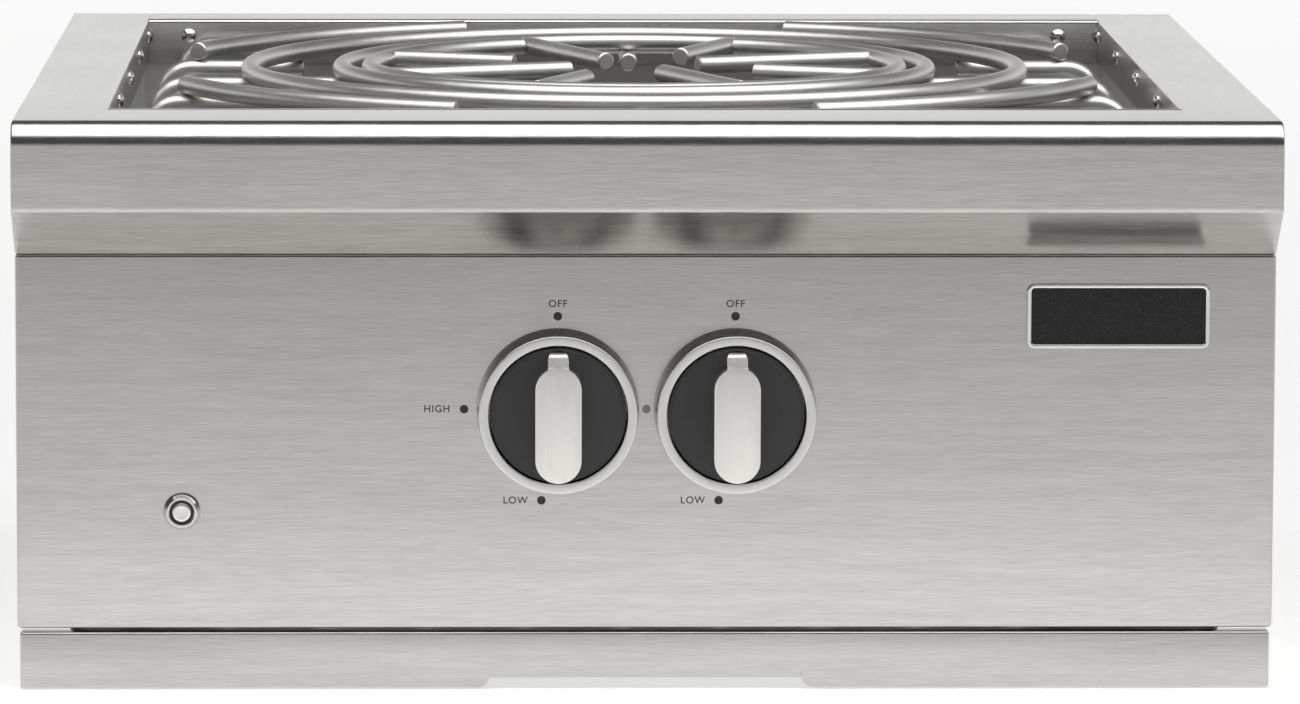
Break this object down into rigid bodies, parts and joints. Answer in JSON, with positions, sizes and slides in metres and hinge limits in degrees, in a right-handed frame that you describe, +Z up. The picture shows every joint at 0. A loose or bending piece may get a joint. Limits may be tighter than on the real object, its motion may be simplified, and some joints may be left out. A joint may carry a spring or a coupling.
{
  "type": "built-in gas power burner",
  "caption": "Built-in outdoor gas power burner with a round rod grate, lift-out centre, turn-and-push knobs, ignition button and slide-out drip tray.",
  "frame": {"origin": "centre of the bounding box's base, on the surface that the casing stands on", "axes": "+X to the right seen from the front, +Y from the front to the back, +Z up; the knobs face -Y"},
  "size_m": [0.61, 0.624, 0.2816],
  "materials": {
    "brushed_top": "brushed stainless steel sheet with a rolled, brighter front edge",
    "brushed_fascia": "stainless steel sheet brushed from side to side",
    "inner_sheet": "plain mill-finished stainless steel sheet",
    "fastener_steel": "polished dome-head steel screws",
    "badge_cast": "cast plate with a bright rim and a black stippled field",
    "grate_rod": "polished round stainless steel rod",
    "satin_surround": "satin stainless steel",
    "knob_black": "matt black moulding",
    "satin_grip": "satin nickel over cast metal",
    "turned_steel": "bright turned steel",
    "valve_brass": "machined brass",
    "spring_wire": "drawn spring wire",
    "gas_pipe": "zinc-plated steel pipe",
    "burner_tube": "drawn stainless steel tube",
    "burner_iron": "cast iron",
    "module_plastic": "moulded black plastic",
    "battery_can": "plain printed steel can",
    "ceramic": "white glazed ceramic and silicone lead"
  },
  "bodies": {
    "casing": {"front_bezel": "brushed_top", "bezel_end_caps": "brushed_top", "left_flange": "brushed_top", "right_flange": "brushed_top", "rear_flange": "brushed_top", "control_panel": "brushed_fascia", "left_side_panel": "inner_sheet", "right_side_panel": "inner_sheet", "rear_panel": "inner_sheet", "left_liner": "inner_sheet", "right_liner": "inner_sheet", "rear_liner": "inner_sheet", "front_liner": "inner_sheet", "grate_ledges": "inner_sheet", "flange_screws": "fastener_steel", "rear_panel_screws": "fastener_steel", "tray_runners": "inner_sheet", "badge": "badge_cast", "left_knob_surround": "satin_surround", "right_knob_surround": "satin_surround", "left_valve": "valve_brass", "right_valve": "valve_brass", "orifices": "valve_brass", "gas_manifold": "gas_pipe", "supply_pipe": "gas_pipe", "left_mixing_tube": "burner_tube", "right_mixing_tube": "burner_tube", "outer_burner": "burner_iron", "outer_burner_cap": "burner_iron", "centre_burner": "burner_iron", "centre_burner_cap": "burner_iron", "burner_supports": "inner_sheet", "button_collar": "turned_steel", "ignition_module": "module_plastic", "ignition_battery": "battery_can", "spark_electrode": "ceramic", "spark_lead": "ceramic"},
    "drip_tray": {"drip_tray_pan": "inner_sheet", "drip_tray_front": "brushed_fascia"},
    "grate": {"outer_ring_arcs": "grate_rod", "middle_ring": "grate_rod", "inner_ring": "grate_rod", "side_bars": "grate_rod", "end_bars": "grate_rod", "centre_bars": "grate_rod"},
    "grate_centre": {"centre_ring": "grate_rod", "centre_fingers": "grate_rod"},
    "left_push_collar": {"left_thrust_collar": "valve_brass", "left_spring": "spring_wire"},
    "right_push_collar": {"right_thrust_collar": "valve_brass", "right_spring": "spring_wire"},
    "left_knob": {"left_knob_disc": "knob_black", "left_knob_grip": "satin_grip", "left_stem": "turned_steel"},
    "right_knob": {"right_knob_disc": "knob_black", "right_knob_grip": "satin_grip", "right_stem": "turned_steel"},
    "left_shutter": {"left_air_shutter": "burner_tube"},
    "right_shutter": {"right_air_shutter": "burner_tube"},
    "igniter_button": {"ignition_button": "turned_steel"}
  },
  "joints": [
    {"name": "tray_slide", "type": "slide", "parent": "casing", "child": "drip_tray", "axis": [0, -1, 0], "range_m": [0, 0.45]},
    {"name": "grate_lift", "type": "slide", "parent": "casing", "child": "grate", "axis": [0, 0, 1], "range_m": [0, 0.15]},
    {"name": "centre_lift", "type": "slide", "parent": "grate", "child": "grate_centre", "axis": [0, 0, 1], "range_m": [0, 0.15]},
    {"name": "left_knob_push", "type": "slide", "parent": "casing", "child": "left_push_collar", "axis": [0, 1, 0], "range_m": [0, 0.004], "stiffness_N_per_m": 1500},
    {"name": "right_knob_push", "type": "slide", "parent": "casing", "child": "right_push_collar", "axis": [0, 1, 0], "range_m": [0, 0.004], "stiffness_N_per_m": 1500},
    {"name": "left_knob_turn", "type": "hinge", "parent": "left_push_collar", "child": "left_knob", "pos_m": [-0.043, -0.277, 0.1375], "axis": [0, -1, 0], "range_deg": [0, 170]},
    {"name": "right_knob_turn", "type": "hinge", "parent": "right_push_collar", "child": "right_knob", "pos_m": [0.043, -0.277, 0.1375], "axis": [0, -1, 0], "range_deg": [0, 170]},
    {"name": "left_shutter_turn", "type": "hinge", "parent": "casing", "child": "left_shutter", "pos_m": [-0.043, -0.2155, 0.1375], "axis": [0, 1, 0], "range_deg": [0, 60]},
    {"name": "right_shutter_turn", "type": "hinge", "parent": "casing", "child": "right_shutter", "pos_m": [0.043, -0.2155, 0.1375], "axis": [0, 1, 0], "range_deg": [0, 60]},
    {"name": "igniter_push", "type": "slide", "parent": "casing", "child": "igniter_button", "axis": [0, 1, 0], "range_m": [0, 0.003], "stiffness_N_per_m": 800}
  ]
}
